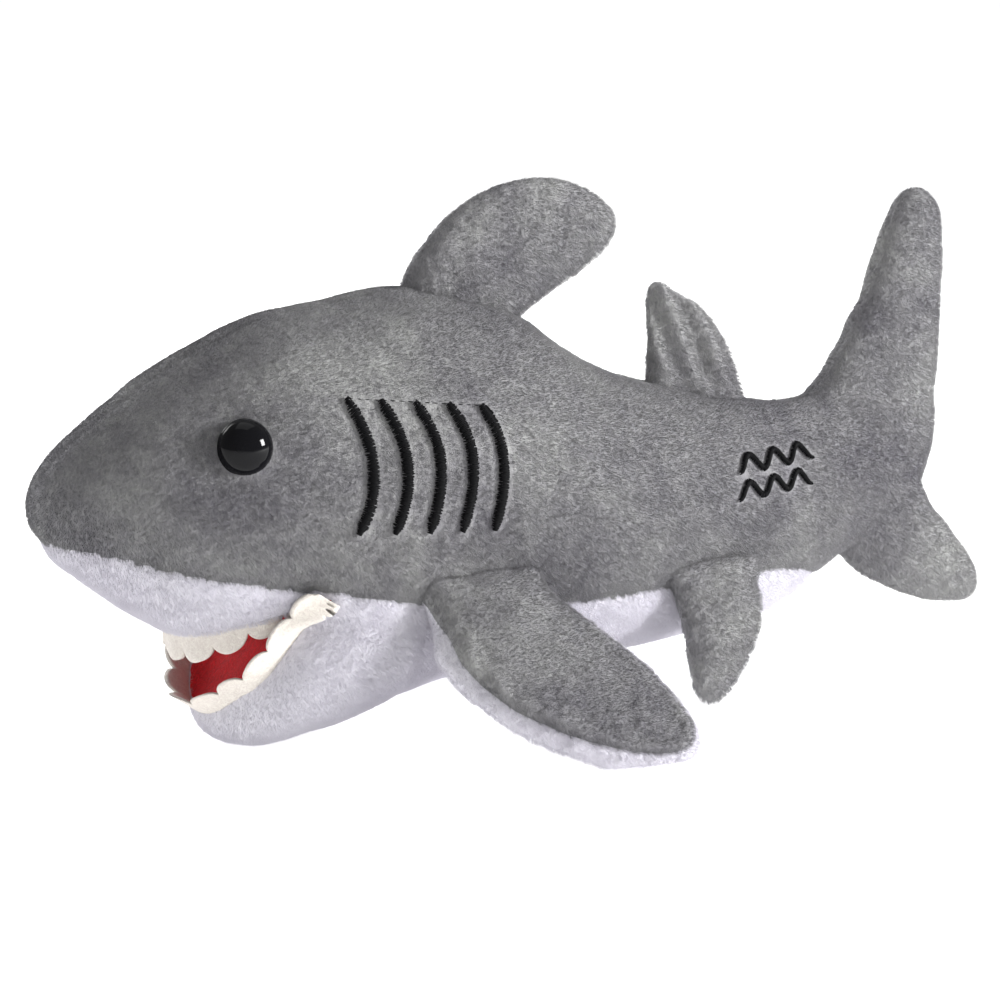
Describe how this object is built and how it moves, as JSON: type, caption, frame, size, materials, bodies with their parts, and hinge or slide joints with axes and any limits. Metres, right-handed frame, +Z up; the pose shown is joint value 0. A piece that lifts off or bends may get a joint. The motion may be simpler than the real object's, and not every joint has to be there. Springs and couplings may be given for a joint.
{
  "type": "plush shark",
  "caption": "Stuffed plush shark standing on chin and fins, open felt-toothed mouth, plastic eyes, soft bending tail, jaw and fins.",
  "frame": {"origin": "on the surface the toy stands on, midway between the nose and the end of the tail, in the middle plane", "axes": "+X from the nose to the tail, -Y is the shark's left side, +Z up"},
  "size_m": [0.282, 0.1376, 0.1316],
  "materials": {
    "grey_plush": "short pile",
    "white_plush": "short pile",
    "red_lining": "matte",
    "felt": "felt",
    "black_thread": "satin stitch",
    "eye_plastic": "gloss",
    "washer_plastic": "matte",
    "fibre_filling": "loose fibre"
  },
  "bodies": {
    "torso": {"left_side_panel": "grey_plush", "right_side_panel": "grey_plush", "snout_panel": "white_plush", "belly_panel": "white_plush", "upper_mouth_lining": "red_lining", "upper_teeth": "felt", "torso_stuffing": "fibre_filling", "left_eye": "eye_plastic", "right_eye": "eye_plastic", "left_eye_washer": "washer_plastic", "right_eye_washer": "washer_plastic", "left_gill_embroidery": "black_thread", "right_gill_embroidery": "black_thread", "flank_embroidery": "black_thread"},
    "lower_jaw": {"lower_jaw_panel": "white_plush", "lower_mouth_lining": "red_lining", "jaw_stuffing": "fibre_filling", "lower_teeth": "felt"},
    "tail": {"left_tail_panel": "grey_plush", "right_tail_panel": "grey_plush", "tail_stuffing": "fibre_filling"},
    "dorsal_fin": {"dorsal_fin_left_panel": "grey_plush", "dorsal_fin_right_panel": "grey_plush", "dorsal_fin_stuffing": "fibre_filling"},
    "second_dorsal_fin": {"second_dorsal_fin_left_panel": "grey_plush", "second_dorsal_fin_right_panel": "grey_plush", "second_dorsal_fin_stuffing": "fibre_filling"},
    "left_pectoral_fin": {"left_pectoral_fin_top_panel": "grey_plush", "left_pectoral_fin_bottom_panel": "white_plush", "left_pectoral_fin_stuffing": "fibre_filling"},
    "right_pectoral_fin": {"right_pectoral_fin_top_panel": "grey_plush", "right_pectoral_fin_bottom_panel": "white_plush", "right_pectoral_fin_stuffing": "fibre_filling"},
    "left_pelvic_fin": {"left_pelvic_fin_outer_panel": "grey_plush", "left_pelvic_fin_inner_panel": "grey_plush", "left_pelvic_fin_stuffing": "fibre_filling"},
    "right_pelvic_fin": {"right_pelvic_fin_outer_panel": "grey_plush", "right_pelvic_fin_inner_panel": "grey_plush", "right_pelvic_fin_stuffing": "fibre_filling"}
  },
  "joints": [
    {"name": "jaw_hinge", "type": "hinge", "parent": "torso", "child": "lower_jaw", "pos_m": [-0.079, 0, 0.04], "axis": [0, 1, 0], "range_deg": [-6, 4], "stiffness_Nm_per_rad": 0.5},
    {"name": "tail_bend", "type": "hinge", "parent": "torso", "child": "tail", "pos_m": [0.077, 0, 0.045], "axis": [0, 0, 1], "range_deg": [-20, 20], "stiffness_Nm_per_rad": 0.15},
    {"name": "dorsal_fin_lean", "type": "hinge", "parent": "torso", "child": "dorsal_fin", "pos_m": [-0.0295, 0, 0.1025], "axis": [0.9603, 0, -0.2788], "range_deg": [-25, 25], "stiffness_Nm_per_rad": 0.02},
    {"name": "second_dorsal_fin_lean", "type": "hinge", "parent": "torso", "child": "second_dorsal_fin", "pos_m": [0.0405, 0, 0.07465], "axis": [0.9697, 0, -0.2441], "range_deg": [-25, 25], "stiffness_Nm_per_rad": 0.01},
    {"name": "left_pectoral_fin_swing", "type": "hinge", "parent": "torso", "child": "left_pectoral_fin", "pos_m": [-0.043, -0.0358, 0.0355], "axis": [-1, 0, 0], "range_deg": [-10, 40], "stiffness_Nm_per_rad": 0.3},
    {"name": "right_pectoral_fin_swing", "type": "hinge", "parent": "torso", "child": "right_pectoral_fin", "pos_m": [-0.043, 0.0358, 0.0355], "axis": [1, 0, 0], "range_deg": [-10, 40], "stiffness_Nm_per_rad": 0.3},
    {"name": "left_pelvic_fin_swing", "type": "hinge", "parent": "torso", "child": "left_pelvic_fin", "pos_m": [0.029, -0.0278, 0.029], "axis": [-1, 0, 0], "range_deg": [-15, 40], "stiffness_Nm_per_rad": 0.03},
    {"name": "right_pelvic_fin_swing", "type": "hinge", "parent": "torso", "child": "right_pelvic_fin", "pos_m": [0.029, 0.0278, 0.029], "axis": [1, 0, 0], "range_deg": [-15, 40], "stiffness_Nm_per_rad": 0.03}
  ]
}
